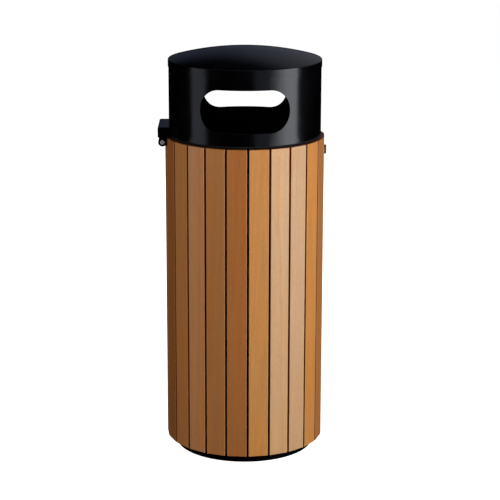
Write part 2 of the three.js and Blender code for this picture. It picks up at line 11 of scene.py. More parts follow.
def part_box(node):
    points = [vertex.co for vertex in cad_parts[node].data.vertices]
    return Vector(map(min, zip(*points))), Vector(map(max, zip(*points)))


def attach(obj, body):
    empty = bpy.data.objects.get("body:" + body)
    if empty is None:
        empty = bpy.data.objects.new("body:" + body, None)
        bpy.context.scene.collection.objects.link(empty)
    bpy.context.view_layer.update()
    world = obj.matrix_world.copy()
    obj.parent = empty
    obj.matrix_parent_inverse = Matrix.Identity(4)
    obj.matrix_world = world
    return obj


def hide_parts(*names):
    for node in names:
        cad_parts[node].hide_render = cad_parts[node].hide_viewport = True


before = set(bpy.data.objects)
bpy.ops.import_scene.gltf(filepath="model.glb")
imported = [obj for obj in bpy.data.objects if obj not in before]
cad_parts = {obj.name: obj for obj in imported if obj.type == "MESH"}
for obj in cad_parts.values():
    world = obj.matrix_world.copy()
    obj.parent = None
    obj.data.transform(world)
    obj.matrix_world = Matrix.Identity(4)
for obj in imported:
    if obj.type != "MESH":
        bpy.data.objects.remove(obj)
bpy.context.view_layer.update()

MM = 0.001
FULL_TURN = 2 * math.pi
UP = Vector((0, 0, 1))

# Fineness of the turned pieces, as segments round a full circle
HOOD_SEGMENTS = 192
BAND_SEGMENTS = 138
LINER_SEGMENTS = 144
SMALL_SEGMENTS = 48
SCREW_SEGMENTS = 20
SHARP_ANGLE = math.radians(38)

random_timber = random.Random(41)


# ---------------------------------------------------------------- reading the frame

def points_of(node):
    """The corners of a CAD node, each once, in the row frame."""
    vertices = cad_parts[node].data.vertices
    return list({tuple(round(value, 6) for value in vertex.co): vertex.co.copy()
                 for vertex in vertices}.values())


def radii(node):
    """Smallest and largest distance of a CAD node's vertices from the bin's axis."""
    distances = [math.hypot(point.x, point.y) for point in points_of(node)]
    return min(distances), max(distances)


def heights(node):
    """Lowest and highest z of a CAD node."""
    low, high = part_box(node)
    return low.z, high.z


def outward(azimuth):
    """Level unit vector at an azimuth in radians: 0 is the front, a quarter turn is +X."""
    return Vector((math.sin(azimuth), -math.cos(azimuth), 0))


def sideways(azimuth):
    """Level unit vector square to outward(azimuth), towards growing azimuths."""
    return Vector((math.cos(azimuth), math.sin(azimuth), 0))


def turned_to(direction):
    """The turn that takes +Z to a direction, as a 4x4 matrix."""
    return UP.rotation_difference(direction).to_matrix().to_4x4()


# ---------------------------------------------------------------- mesh building

def rounded(corners, radius, steps=3, closed=True):
    """An outline with its corners rounded, by one radius or by a list with one for each corner.
    An open outline keeps its two ends."""
    each = radius if isinstance(radius, (list, tuple)) else [radius] * len(corners)
    count = len(corners)
    outline = []
    for index, corner in enumerate(corners):
        ends_here = not closed and index in (0, count - 1)
        if ends_here or each[index] <= 0:
            outline.append(tuple(corner))
            continue
        here = Vector(corner)
        before = Vector(corners[index - 1]) - here
        after = Vector(corners[(index + 1) % count]) - here
        opening = before.angle(after)
        reach = min(each[index] / math.tan(opening / 2), 0.48 * before.length,
                    0.48 * after.length)
        start = here + before.normalized() * reach
        end = here + after.normalized() * reach
        for step in range(steps + 1):
            share = step / steps
            point = start.lerp(here, share).lerp(here.lerp(end, share), share)
            outline.append(tuple(point))
    return outline


def lathe(profile, segments, closed=True):
    """Vertices and faces of (radius, z) points turned about Z, anticlockwise round the section.
    A profile that isn't closed starts and ends on the axis."""
    vertices, faces, rings = [], [], []
    for radius, z in profile:
        start = len(vertices)
        if radius < 1e-6:
            vertices.append((0, 0, z))
            rings.append([start] * segments)
            continue
        for index in range(segments):
            turn = FULL_TURN * index / segments
            vertices.append((radius * math.cos(turn), radius * math.sin(turn), z))
        rings.append(list(range(start, start + segments)))
    pairs = list(zip(rings, rings[1:]))
    if closed:
        pairs.append((rings[-1], rings[0]))
    for lower, upper in pairs:
        for index in range(segments):
            after = (index + 1) % segments
            corners = [lower[index], lower[after], upper[after], upper[index]]
            face = list(dict.fromkeys(corners))
            if len(face) > 2:
                faces.append(face)
    return vertices, faces


def mesh_from(name, vertices, faces):
    """A Blender mesh from lists of vertices and faces."""
    mesh = bpy.data.meshes.new(name)
    mesh.from_pydata([tuple(vertex) for vertex in vertices], [], faces)
    mesh.validate()
    return mesh


def joined(name, parts):
    """One mesh from several (vertices, faces) solids."""
    vertices, faces = [], []
    for part_vertices, part_faces in parts:
        offset = len(vertices)
        vertices.extend(part_vertices)
        faces.extend([[offset + index for index in face] for face in part_faces])
    return mesh_from(name, vertices, faces)


def moved(part, matrix):
    """A (vertices, faces) solid with its vertices moved by a matrix."""
    vertices, faces = part
    return [tuple(matrix @ Vector(vertex)) for vertex in vertices], faces


def refined(node, width):
    """A CAD node's shape with its flat faces whole and its sharp edges rounded over a width."""
    bm = bmesh.new()
    bm.from_mesh(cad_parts[node].data)
    bmesh.ops.remove_doubles(bm, verts=bm.verts, dist=2e-6)
    bmesh.ops.dissolve_limit(bm, angle_limit=math.radians(1), verts=bm.verts, edges=bm.edges)
    sharp = [edge for edge in bm.edges
             if len(edge.link_faces) == 2 and edge.calc_face_angle() > SHARP_ANGLE]
    bmesh.ops.bevel(bm, geom=sharp, offset=width, segments=2, profile=0.5,
                    affect="EDGES", clamp_overlap=True)
    mesh = bpy.data.meshes.new(node + "_refined")
    bm.to_mesh(mesh)
    bm.free()
    # The CAD's own normals and UVs no longer fit the bevelled shape
    left_over = [a.name for a in mesh.attributes if a.name in ("custom_normal", "UVMap")]
    for attribute in left_over:
        mesh.attributes.remove(mesh.attributes[attribute])
    return mesh


def drilled(mesh, cutter):
    """The mesh with a (vertices, faces) solid taken away."""
    blank = bpy.data.objects.new("blank", mesh)
    tool = bpy.data.objects.new("tool", mesh_from("tool", *cutter))
    for helper in (blank, tool):
        bpy.context.collection.objects.link(helper)
    modifier = blank.modifiers.new("drill", "BOOLEAN")
    modifier.operation = "DIFFERENCE"
    modifier.solver = "EXACT"
    modifier.object = tool
    graph = bpy.context.evaluated_depsgraph_get()
    result = bpy.data.meshes.new_from_object(blank.evaluated_get(graph))
    for helper in (blank, tool):
        bpy.data.objects.remove(helper)
    return result


def rod(radius, length):
    """A plain cylinder about Z from z = 0, for a cutter."""
    corners = [(0, 0), (radius, 0), (radius, length), (0, length)]
    return lathe(corners, SMALL_SEGMENTS, closed=False)


def piece(name, mesh, body, slot, *nodes):
    """A finished piece: its material and shading, the body it rides on and the nodes it replaces."""
    thing = bpy.data.objects.new(name, mesh)
    bpy.context.collection.objects.link(thing)
    mesh.materials.clear()
    mesh.materials.append(MATERIALS[slot])
    mesh.shade_smooth()
    mesh.set_sharp_from_angle(angle=SHARP_ANGLE)
    shading = thing.modifiers.new("normals", "WEIGHTED_NORMAL")
    shading.keep_sharp = True
    shading.weight = 90
    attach(thing, body)
    if nodes:
        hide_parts(*nodes)
    return thing


# ---------------------------------------------------------------- material building

class Surface:
    """A material's node tree, with short ways to add and link nodes."""

    def __init__(self, name, metallic, specular=0.5):
        self.material = bpy.data.materials.new(name)
        self.material.use_nodes = True
        self.tree = self.material.node_tree
        self.shader = next(n for n in self.tree.nodes if n.type == "BSDF_PRINCIPLED")
        self.shader.inputs["Metallic"].default_value = metallic
        self.shader.inputs["Specular IOR Level"].default_value = specular

    def add(self, kind, inputs=None, **settings):
        """A new node. Inputs are given as numbers, colours or other nodes' output sockets."""
        node = self.tree.nodes.new("ShaderNode" + kind)
        for key, value in settings.items():
            setattr(node, key, value)
        for key, value in (inputs or {}).items():
            if isinstance(value, bpy.types.NodeSocket):
                self.tree.links.new(value, node.inputs[key])
            else:
                node.inputs[key].default_value = value
        return node

    def attribute(self, name, output="Fac"):
        return self.add("Attribute", attribute_name=name).outputs[output]

    def place(self):
        return self.add("TexCoord").outputs["Object"]

    def stretched(self, vector, scale):
        return self.add("Mapping", {"Vector": vector, "Scale": scale}).outputs["Vector"]

    def noise(self, vector, scale, detail=2.0, roughness=0.5, distortion=0.0):
        return self.add("TexNoise", {"Vector": vector, "Scale": scale, "Detail": detail,
                                     "Roughness": roughness,
                                     "Distortion": distortion}).outputs["Fac"]

    def remap(self, value, low, high, to_low=0.0, to_high=1.0):
        return self.add("MapRange", {"Value": value, "From Min": low, "From Max": high,
                                     "To Min": to_low, "To Max": to_high}).outputs["Result"]

    def math(self, operation, first, second=0.0):
        return self.add("Math", {0: first, 1: second}, operation=operation).outputs["Value"]

    def mix(self, share, first, second, blend="MIX"):
        """A colour mixed from two, each an RGB triple or a socket."""
        node = self.add("Mix", data_type="RGBA", blend_type=blend)
        for socket, value in ((node.inputs[0], share), (node.inputs[6], first),
                              (node.inputs[7], second)):
            if isinstance(value, bpy.types.NodeSocket):
                self.tree.links.new(value, socket)
            elif isinstance(value, (int, float)):
                socket.default_value = value
            else:
                socket.default_value = (*value, 1)
        return node.outputs[2]

    def bump(self, height, distance, strength):
        return self.add("Bump", {"Height": height, "Distance": distance,
                                 "Strength": strength}).outputs["Normal"]

    def finish(self, color, roughness, normal):
        self.tree.links.new(color, self.shader.inputs["Base Color"])
        self.tree.links.new(roughness, self.shader.inputs["Roughness"])
        self.tree.links.new(normal, self.shader.inputs["Normal"])
        return self.material


def timber():
    """Oiled hardwood: growth rings, fine fibres and pores running along each slat, a tint for each
    board that is partly painted light, a painted highlight on the arrises, painted shade on the
    sides and much darker faces at the ends."""
    s = Surface("timber", 0.0, 0.7)
    grain = s.attribute("grain", "Vector")
    drift = s.noise(s.stretched(grain, (1, 1, 0.10)), 34, 3)
    rings = s.add("TexWave", {"Vector": s.stretched(grain, (1, 1, 0.05)), "Scale": 62,
                              "Distortion": 3.2, "Detail": 3, "Detail Scale": 1.3,
                              "Detail Roughness": 0.6},
                  wave_type="RINGS", rings_direction="Z", wave_profile="SAW").outputs["Fac"]
    fibre = s.noise(s.stretched(grain, (1, 1, 0.012)), 1500, 4, 0.65)
    streak = s.noise(s.stretched(grain, (1, 1, 0.010)), 260, 3, 0.55)
    band = s.noise(s.stretched(grain, (1, 0.3, 0.007)), 75, 1)
    pores = s.remap(s.noise(s.stretched(grain, (1, 1, 0.045)), 2300, 1, 0.5), 0.60, 0.70)

    # From the widest figure to the finest, and then what differs over the board
    warm = s.mix(s.remap(drift, 0.38, 0.62), (0.640, 0.250, 0.068), (0.690, 0.235, 0.044))
    figured = s.mix(s.math("MULTIPLY", rings, 0.30), warm, (0.400, 0.120, 0.020))
    streaked = s.mix(s.remap(streak, 0.30, 0.72, 0.0, 0.42), figured, (0.760, 0.310, 0.085))
    banded = s.mix(s.remap(band, 0.40, 0.62, 0.0, 0.40), streaked, (0.560, 0.255, 0.080))
    fine = s.mix(s.remap(fibre, 0.35, 0.70, 0.0, 0.26), banded, (0.340, 0.100, 0.016))
    pored = s.mix(s.math("MULTIPLY", pores, 0.36), fine, (0.140, 0.040, 0.009))
    tinted = s.mix(1.0, pored, s.attribute("tone", "Color"), "MULTIPLY")
    # Painted highlight: the colour lifts towards a paler tone close to both long edges of each board's
    # face
    rim = s.remap(s.math("ABSOLUTE", s.attribute("across")), 0.88, 0.97)
    arris_highlighted = s.mix(s.math("MULTIPLY", rim, 0.18), tinted, (0.720, 0.400, 0.190))
    # Painted shade in the gaps between boards: from a little behind the face, the sides and back turn
    # almost to a dark brown
    side = s.remap(s.attribute("depth"), 0.03, 0.10, 0.0, 0.95)
    gap_shaded = s.mix(side, arris_highlighted, (0.220, 0.042, 0.002))
    facing = s.add("SeparateXYZ", {0: s.add("TexCoord").outputs["Normal"]})
    # The faces at the ends, those facing up or down, much darker
    end = s.remap(s.math("ABSOLUTE", facing.outputs["Z"]), 0.5, 0.9)
    color = s.mix(s.math("MULTIPLY", end, 0.85), gap_shaded, (0.085, 0.032, 0.012))

    relief = s.math("SUBTRACT", s.math("MULTIPLY", fibre, 0.5), pores)
    rough = s.math("ADD", s.remap(fibre, 0.3, 0.7, 0.36, 0.48), s.math("MULTIPLY", pores, 0.14))
    return s.finish(color, rough, s.bump(relief, 0.00022, 0.45))


def coated(name, color, dusty, roughness, peel_scale, peel_depth, specular):
    """Powder coat: fine orange peel, slight blotches in the gloss, faint dust and rubbing."""
    s = Surface(name, 0.0, specular)
    place = s.place()
    peel = s.noise(place, peel_scale, 2, 0.45)
    blotch = s.noise(place, 14, 3, 0.55)
    speck = s.remap(s.noise(place, 1900, 1), 0.70, 0.78)
    scuff = s.remap(s.noise(s.stretched(place, (1, 1, 9)), 26, 5, 0.7, 0.6), 0.62, 0.80)
    tone = s.mix(s.remap(blotch, 0.35, 0.70), color, dusty)
    rubbed_tone = tuple(4 * value for value in dusty)
    rubbed = s.mix(s.math("MULTIPLY", scuff, 0.25), tone, rubbed_tone)
    surface = s.mix(s.math("MULTIPLY", speck, 0.20), rubbed, (0.06, 0.06, 0.06))
    gloss = s.math("ADD", s.remap(blotch, 0.3, 0.7, roughness - 0.02, roughness + 0.04),
                   s.math("MULTIPLY", scuff, 0.10))
    return s.finish(surface, gloss, s.bump(peel, peel_depth, 0.5))


def plated(name, light, dark, roughness, metallic):
    """Plated metal: cloudy tone, fine brushing and small dull spots."""
    s = Surface(name, metallic)
    place = s.place()
    cloud = s.noise(place, 60, 4, 0.6)
    brush = s.noise(s.stretched(place, (1, 1, 14)), 240, 3, 0.6)
    spots = s.remap(s.noise(place, 420, 2), 0.62, 0.72)
    tone = s.mix(s.remap(cloud, 0.35, 0.68), light, dark)
    spot_tone = tuple(0.45 * value for value in dark)
    surface = s.mix(s.math("MULTIPLY", spots, 0.45), tone, spot_tone)
    gloss = s.math("ADD", s.remap(brush, 0.3, 0.7, roughness - 0.07, roughness + 0.08),
                   s.math("MULTIPLY", spots, 0.18))
    return s.finish(surface, gloss, s.bump(brush, 0.00006, 0.4))


def galvanised():
    """Hot-dip galvanised sheet: crystal spangle, run marks and a dull bloom."""
    s = Surface("galvanised", 0.55)    # part metal, as the dull zinc crust scatters light
    place = s.place()
    ripple = s.add("TexNoise", {"Vector": place, "Scale": 60, "Detail": 2}).outputs["Color"]
    shift = s.add("VectorMath", {0: ripple, "Scale": 0.006}, operation="SCALE").outputs["Vector"]
    bent = s.add("VectorMath", {0: place, 1: shift}, operation="ADD").outputs["Vector"]
    spangle = s.add("TexVoronoi", {"Vector": bent, "Scale": 72}, feature="F1")
    cell = s.add("SeparateColor", {0: spangle.outputs["Color"]}).outputs["Red"]
    runs = s.noise(s.stretched(place, (1, 1, 0.12)), 38, 4, 0.6)
    tone = s.mix(cell, (0.50, 0.52, 0.53), (0.64, 0.66, 0.67))
    bloom = s.mix(s.remap(runs, 0.45, 0.75, 0.0, 0.50), tone, (0.38, 0.39, 0.39))
    gloss = s.math("ADD", s.remap(cell, 0.0, 1.0, 0.36, 0.45),
                   s.remap(runs, 0.4, 0.75, 0.0, 0.16))
    return s.finish(bloom, gloss, s.bump(s.noise(place, 300, 2), 0.00005, 0.4))


def rubber():
    """Black rubber with a fine moulded grain and a little dust."""
    s = Surface("rubber", 0.0, 0.35)
    place = s.place()
    grain = s.noise(place, 1400, 2)
    dust = s.remap(s.noise(place, 40, 4, 0.6), 0.45, 0.75)
    color = s.mix(s.math("MULTIPLY", dust, 0.5), (0.012, 0.012, 0.012), (0.05, 0.048, 0.045))
    return s.finish(color, s.remap(grain, 0.3, 0.7, 0.68, 0.85), s.bump(grain, 0.0001, 0.5))


MATERIALS = {
    "timber": timber(),
    "black_coat": coated("black_coat", color=(0.0004, 0.0004, 0.0006),
                         dusty=(0.0011, 0.0011, 0.0015), roughness=0.18, peel_scale=620,
                         peel_depth=0.00003, specular=0.5),
    "frame_coat": coated("frame_coat", color=(0.0022, 0.0020, 0.0020),
                         dusty=(0.0050, 0.0045, 0.0042), roughness=0.45, peel_scale=900,
                         peel_depth=0.00006, specular=0.10),
    "zinc": plated("zinc", light=(0.66, 0.66, 0.63), dark=(0.46, 0.47, 0.47), roughness=0.36,
                   metallic=0.6),
    "galvanised": galvanised(),
    "lock_metal": plated("lock_metal", light=(0.25, 0.20, 0.13), dark=(0.15, 0.12, 0.075),
                         roughness=0.36, metallic=0.55),
    "rubber": rubber(),
}


# ---------------------------------------------------------------- slats

SLATS = sorted(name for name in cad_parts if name.startswith("slat_"))
SLAT_PITCH = FULL_TURN / len(SLATS)
FACE_ARRIS = 1.9 * MM
BACK_ARRIS = 0.8 * MM
ARRIS_STEPS = 6
END_ROUNDING = 1.2 * MM
END_SHARES = (1.0, 0.5, 0.13, 0.0)     # levels of an eased end, from its tip up the board
# Tints over the common timber, and which of them each board has, from slat_01 round. On the
# boards in front they are mostly painted light, fitted so that each board comes out as lit: the
# tints that raise blue most are a painted sheen, and the darker ones are painted shade. On the
# boards behind they are tone that differs from board to board.
TINTS = {"plain": (1.00, 1.00, 1.00), "brown": (0.76, 0.76, 0.80), "painted_sheen": (1.02, 1.48, 2.60),
         "faint_painted_sheen": (1.02, 1.10, 1.40), "orange": (0.70, 0.64, 0.60), "amber": (1.02, 1.06, 0.90),
         "dark": (0.60, 0.68, 1.20), "light": (0.94, 1.08, 1.10)}
BOARDS = ["light", "painted_sheen", "painted_sheen", "amber", "brown", "plain", "faint_painted_sheen", "brown", "plain", "amber",
          "faint_painted_sheen", "orange", "plain", "brown", "painted_sheen", "plain", "orange", "dark", "orange", "plain",
          "faint_painted_sheen", "brown", "orange"]


def first_azimuth():
    """Azimuth of slat_01, from the middle of its corners."""
    total = sum(points_of(SLATS[0]), Vector((0, 0, 0)))
    return math.atan2(total.x, -total.y)


FIRST_AZIMUTH = first_azimuth()


def slat_frame(node):
    """Azimuth of a slat, and the radii and half widths of its front and back faces."""
    points = points_of(node)
    low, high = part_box(node)
    centre = (low + high) / 2
    rough = math.atan2(centre.x, -centre.y)
    azimuth = FIRST_AZIMUTH + round((rough - FIRST_AZIMUTH) / SLAT_PITCH) * SLAT_PITCH
    distances = [point.dot(outward(azimuth)) for point in points]
    offsets = [abs(point.dot(sideways(azimuth))) for point in points]
    face, back = max(distances), min(distances)
    back_half = max(offset for offset, distance in zip(offsets, distances)
                    if distance < back + 0.5 * MM)
    return azimuth, face, back, max(offsets), back_half


def give_grain(mesh, azimuth, face, tint):
    """Stores where each vertex lies in its board, so that the figure runs along that board."""
    pith = Vector((random_timber.uniform(-0.05, 0.05), random_timber.uniform(0.035, 0.12)))
    lean = Vector((random_timber.uniform(-0.012, 0.012), random_timber.uniform(-0.02, 0.02)))
    start = random_timber.uniform(0, 40)
    light = random_timber.uniform(0.97, 1.03)
    radial = outward(azimuth)
    aside = sideways(azimuth)
    half = max(abs(vertex.co.dot(aside)) for vertex in mesh.vertices)
    thickness = face - min(vertex.co.dot(radial) for vertex in mesh.vertices)
    grain, across, depths, tone = [], [], [], []
    for vertex in mesh.vertices:
        x = vertex.co.dot(aside)
        depth = face - vertex.co.dot(radial)
        z = vertex.co.z
        grain.extend((x + pith.x + lean.x * z, depth + pith.y + lean.y * z, z + start))
        across.append(x / half)
        depths.append(depth / thickness)
        tone.extend((*[light * value for value in tint], 1.0))
    mesh.attributes.new("grain", "FLOAT_VECTOR", "POINT").data.foreach_set("vector", grain)
    mesh.attributes.new("across", "FLOAT", "POINT").data.foreach_set("value", across)
    mesh.attributes.new("depth", "FLOAT", "POINT").data.foreach_set("value", depths)
    mesh.attributes.new("tone", "FLOAT_COLOR", "POINT").data.foreach_set("color", tone)


def plain_slat(node, azimuth, face, back, half, back_half):
    """A board with rounded arrises along its length and eased edges at its ends."""
    low, high = heights(node)
    corners = [(-back_half, back), (-half, face), (half, face), (back_half, back)]
    arrises = [BACK_ARRIS, FACE_ARRIS, FACE_ARRIS, BACK_ARRIS]
    outline = rounded(corners, arrises, ARRIS_STEPS)
    middle = (face + back) / 2
    levels = []
    for share in END_SHARES:
        inset = END_ROUNDING * (1 - math.sqrt(1 - share ** 2))
        levels.append((low + END_ROUNDING * (1 - share), inset))
    levels += [(low + high - z, inset) for z, inset in reversed(levels)]
    vertices, faces = [], []
    for z, inset in levels:
        for x, distance in outline:
            inset_x = x - math.copysign(inset, x)
            inset_distance = distance - math.copysign(inset, distance - middle)
            vertices.append(sideways(azimuth) * inset_x + outward(azimuth) * inset_distance
                            + UP * z)
    count = len(outline)
    for level in range(len(levels) - 1):
        for index in range(count):
            after = (index + 1) % count
            a, b = level * count + index, level * count + after
            faces.append([a, a + count, b + count, b])
    faces.append(list(range(count)))
    faces.append([len(vertices) - count + index for index in reversed(range(count))])
    return mesh_from(node + "_board", vertices, faces)


def add_slats():
    """The boards. Those cut out for the hinge or the lock keep the CAD's own shape."""
    whole = len(points_of(SLATS[0]))
    for node, board in zip(SLATS, BOARDS):
        azimuth, face, back, half, back_half = slat_frame(node)
        if len(points_of(node)) == whole:
            mesh = plain_slat(node, azimuth, face, back, half, back_half)
        else:
            mesh = refined(node, 0.7 * MM)
            face = slat_frame(SLATS[0])[1]
        give_grain(mesh, azimuth, face, TINTS[board])
        piece("board_" + node[-2:], mesh, "frame", "timber", node)


# ---------------------------------------------------------------- frame

HOOPS = ["hoop_bottom", "hoop_lower", "hoop_upper", "hoop_top"]
PLAIN_HOOP = "hoop_lower"              # a hoop with no hole in it
UPRIGHT_AZIMUTH = 45                   # of the first upright, in degrees; the rest follow by 90
UPRIGHT_HALF_ANGLE = 5.5               # a slat nearer than this is screwed through an upright
SCREW_RADIUS = 4 * MM
SCREW_HEIGHT = 1.9 * MM
LOCK_HOLE_RADIUS = 10 * MM
LOCK_HOLE_START = 150 * MM             # from the bin's axis
LOCK_HOLE_LENGTH = 100 * MM
LANDING_THICKNESS = 3 * MM


def ring(node, rounding, segments=BAND_SEGMENTS, like=None):
    """A flat band or ring with eased edges, to the CAD node's own sizes, or with another's radii."""
    inner, outer = radii(like or node)
    low, high = heights(node)
    corners = [(inner, low), (outer, low), (outer, high), (inner, high)]
    return lathe(rounded(corners, rounding), segments)


LOCK_LOW, LOCK_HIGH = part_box("lock_housing")
LOCK_CENTRE = (LOCK_LOW + LOCK_HIGH) / 2
LOCK_AZIMUTH = math.atan2(LOCK_CENTRE.x, -LOCK_CENTRE.y)
LOCK_Z = LOCK_CENTRE.z


def along_lock(part):
    """Places a part turned about Z on the lock's axis. Its z becomes the distance from the
    bin's axis."""
    return moved(part, Matrix.Translation(UP * LOCK_Z) @ turned_to(outward(LOCK_AZIMUTH)))


def add_hoops():
    """The four hoops. The lock goes through a hole in the top one."""
    for node in HOOPS:
        mesh = mesh_from(node + "_band", *ring(node, 0.8 * MM, like=PLAIN_HOOP))
        if node == "hoop_top":
            start = Matrix.Translation(outward(LOCK_AZIMUTH) * LOCK_HOLE_START)
            hole = along_lock(rod(LOCK_HOLE_RADIUS, LOCK_HOLE_LENGTH))
            mesh = drilled(mesh, moved(hole, start))
        piece(node + "_band", mesh, "frame", "frame_coat", node)


def screw_head(radius, height):
    """A pan head with a socket, turned about Z, its seat at z = 0."""
    socket_radius = 0.42 * radius
    socket_floor = 0.45 * height
    profile = [(0, 0), (radius, 0), (radius, 0.38 * height), (0.86 * radius, 0.78 * height),
               (0.62 * radius, 0.98 * height), (socket_radius, height),
               (socket_radius, socket_floor), (0, socket_floor)]
    return lathe(profile, SCREW_SEGMENTS, closed=False)


def add_slat_screws():
    """The screws that hold each slat to each hoop, seen from inside the bin."""
    hoop_inner = radii(PLAIN_HOOP)[0]
    upright_direction = outward(math.radians(UPRIGHT_AZIMUTH))
    upright_inner = min(abs(point.dot(upright_direction)) for point in points_of("upright_1"))
    for node in HOOPS:
        low, high = heights(node)
        heads = []
        for slat in SLATS:
            azimuth = slat_frame(slat)[0]
            behind_lock = abs(azimuth - LOCK_AZIMUTH) < SLAT_PITCH / 2
            if node == "hoop_top" and behind_lock:
                continue
            from_upright = abs(math.degrees(azimuth) % 90 - UPRIGHT_AZIMUTH)
            seat = upright_inner if from_upright < UPRIGHT_HALF_ANGLE else hoop_inner
            place = Matrix.Translation(outward(azimuth) * seat + UP * (low + high) / 2)
            head = screw_head(SCREW_RADIUS, SCREW_HEIGHT)
            heads.append(moved(head, place @ turned_to(-outward(azimuth))))
        piece("slat_screws_" + node[5:], joined(node + "_screws", heads), "frame", "zinc")


def add_frame():
    """Hoops, screws, uprights, plinth, base, and the ring and strip that the hood rests on."""
    add_hoops()
    add_slat_screws()
    for index in range(1, 5):
        node = f"upright_{index}"
        piece(f"upright_bar_{index}", refined(node, 0.8 * MM), "frame", "frame_coat", node)
    piece("plinth", mesh_from("plinth", *ring("plinth_band", 0.9 * MM)), "frame", "black_coat",
          "plinth_band")
    piece("base_disc", refined("base_plate", 0.6 * MM), "frame", "frame_coat", "base_plate")

    inner, outer = radii("landing_ring")
    band_outer = radii(PLAIN_HOOP)[1]
    low, high = heights("landing_ring")
    under = high - LANDING_THICKNESS
    section = [(inner, low), (band_outer, low), (band_outer, under), (outer, under),
               (outer, high), (inner, high)]
    rounding = [0.7 * MM, 0.7 * MM, 1.5 * MM, 0.9 * MM, 0.9 * MM, 2.0 * MM]
    angle_ring = lathe(rounded(section, rounding), BAND_SEGMENTS)
    piece("landing_angle", mesh_from("landing_angle", *angle_ring), "frame", "frame_coat",
          "landing_ring")
    strip = mesh_from("gasket", *ring("landing_gasket", 0.9 * MM))
    piece("gasket", strip, "frame", "rubber", "landing_gasket")


# ---------------------------------------------------------------- hood

APERTURE_REACH = math.radians(40)      # azimuth that the front opening stays within
SHEET_END_MARGIN = 5 * MM              # keeps the sheet's own top and bottom edges out
OUTER_FACE_MARGIN = 0.9 * MM           # points nearer than this to the outer radius lie on it
APERTURE_MARGIN = 46 * MM              # width of the finely meshed surround at each end
ARC_STEPS = 28
STRAIGHT_STEPS = 22
SURROUND_LOOPS = 7
SURROUND_SPREAD = 1.15                 # above 1, the loops lie closer together near the opening
SIDE_ROWS = 20
SIDE_COLUMNS = 14
SHEET_EASING = 0.45 * MM

SKIRT_WALL = 1.3 * MM
DOME_WALL = 2 * MM
DOME_STEPS = 26
RIM_HEIGHT = 1135.5 * MM               # where the skirt's outline would meet the dome's
RIM_ROUNDING = 3 * MM
RIM_REACH = 8 * MM                     # how far inwards the rim's corner is shaped
CROWN_START = 3.2 * MM                 # how far inwards the dome's plain face starts
HEM_HEIGHT = 4 * MM
HEM_ROUNDING = 0.55 * MM


def aperture():
    """Half length, radius and height of the hood's openings, read from its edge in the CAD."""
    outer = radii("hood_shell")[1]
    low, high = heights("hood_shell")
    edge = [point for point in points_of("hood_shell")
            if low + SHEET_END_MARGIN < point.z < high - SHEET_END_MARGIN and point.y < 0
            and math.hypot(point.x, point.y) > outer - OUTER_FACE_MARGIN]
    front = [point for point in edge if abs(math.atan2(point.x, -point.y)) < APERTURE_REACH]
    bottom = min(point.z for point in front)
    top = max(point.z for point in front)
    length = max(math.atan2(point.x, -point.y) for point in front) * outer
    return length, (top - bottom) / 2, (top + bottom) / 2


def hood_sheet(name, radius, low, high, half_length, hole_radius, hole_z):
    """The hood's sheet, wrapped round its axis, with a long opening front and back."""
    quarter = FULL_TURN * radius / 4
    straight = half_length - hole_radius
    box_half = half_length + APERTURE_MARGIN

    def right_and_top():
        """(opening, border) point pairs, anticlockwise from the bottom of the right-hand arc."""
        pairs = []
        corner_steps = (ARC_STEPS - SIDE_ROWS) // 2
        for step in range(ARC_STEPS):
            turn = -math.pi / 2 + math.pi * step / ARC_STEPS
            hole = Vector((straight + hole_radius * math.cos(turn),
                           hole_z + hole_radius * math.sin(turn)))
            if step < corner_steps:
                share = step / corner_steps
                border = Vector((straight + (box_half - straight) * share, low))
            elif step < corner_steps + SIDE_ROWS:
                share = (step - corner_steps) / SIDE_ROWS
                border = Vector((box_half, low + (high - low) * share))
            else:
                share = (step - corner_steps - SIDE_ROWS) / corner_steps
                border = Vector((box_half - (box_half - straight) * share, high))
            pairs.append((hole, border))
        for step in range(STRAIGHT_STEPS):
            x = straight - 2 * straight * step / STRAIGHT_STEPS
            pairs.append((Vector((x, hole_z + hole_radius)), Vector((x, high))))
        return pairs

    first_half = right_and_top()
    opposite = [(Vector((-hole.x, 2 * hole_z - hole.y)), Vector((-border.x, low + high - border.y)))
                for hole, border in first_half]
    outline = first_half + opposite
    vertices, faces = [], []

    def place(point, side):
        """Wraps a point of the flat sheet, side 0 in front and 1 behind, and gives its index."""
        turn = point.x / radius + side * math.pi
        vertices.append((radius * math.sin(turn), -radius * math.cos(turn), point.y))
        return len(vertices) - 1

    for side in (0, 1):
        rings = []
        for loop in range(SURROUND_LOOPS + 1):
            share = (loop / SURROUND_LOOPS) ** SURROUND_SPREAD
            rings.append([place(hole.lerp(border, share), side) for hole, border in outline])
        count = len(outline)
        for inner, outer in zip(rings, rings[1:]):
            for index in range(count):
                after = (index + 1) % count
                faces.append([inner[index], outer[index], outer[after], inner[after]])
        for direction in (-1, 1):
            grid = []
            for column in range(SIDE_COLUMNS + 1):
                x = direction * (box_half + (quarter - box_half) * column / SIDE_COLUMNS)
                grid.append([place(Vector((x, low + (high - low) * row / SIDE_ROWS)), side)
                             for row in range(SIDE_ROWS + 1)])
            for first, second in zip(grid, grid[1:]):
                for row in range(SIDE_ROWS):
                    face = [first[row], second[row], second[row + 1], first[row + 1]]
                    faces.append(face if direction > 0 else face[::-1])

    mesh = mesh_from(name, vertices, faces)
    bm = bmesh.new()
    bm.from_mesh(mesh)
    bmesh.ops.remove_doubles(bm, verts=bm.verts, dist=1e-5)
    bm.to_mesh(mesh)
    bm.free()
    return mesh


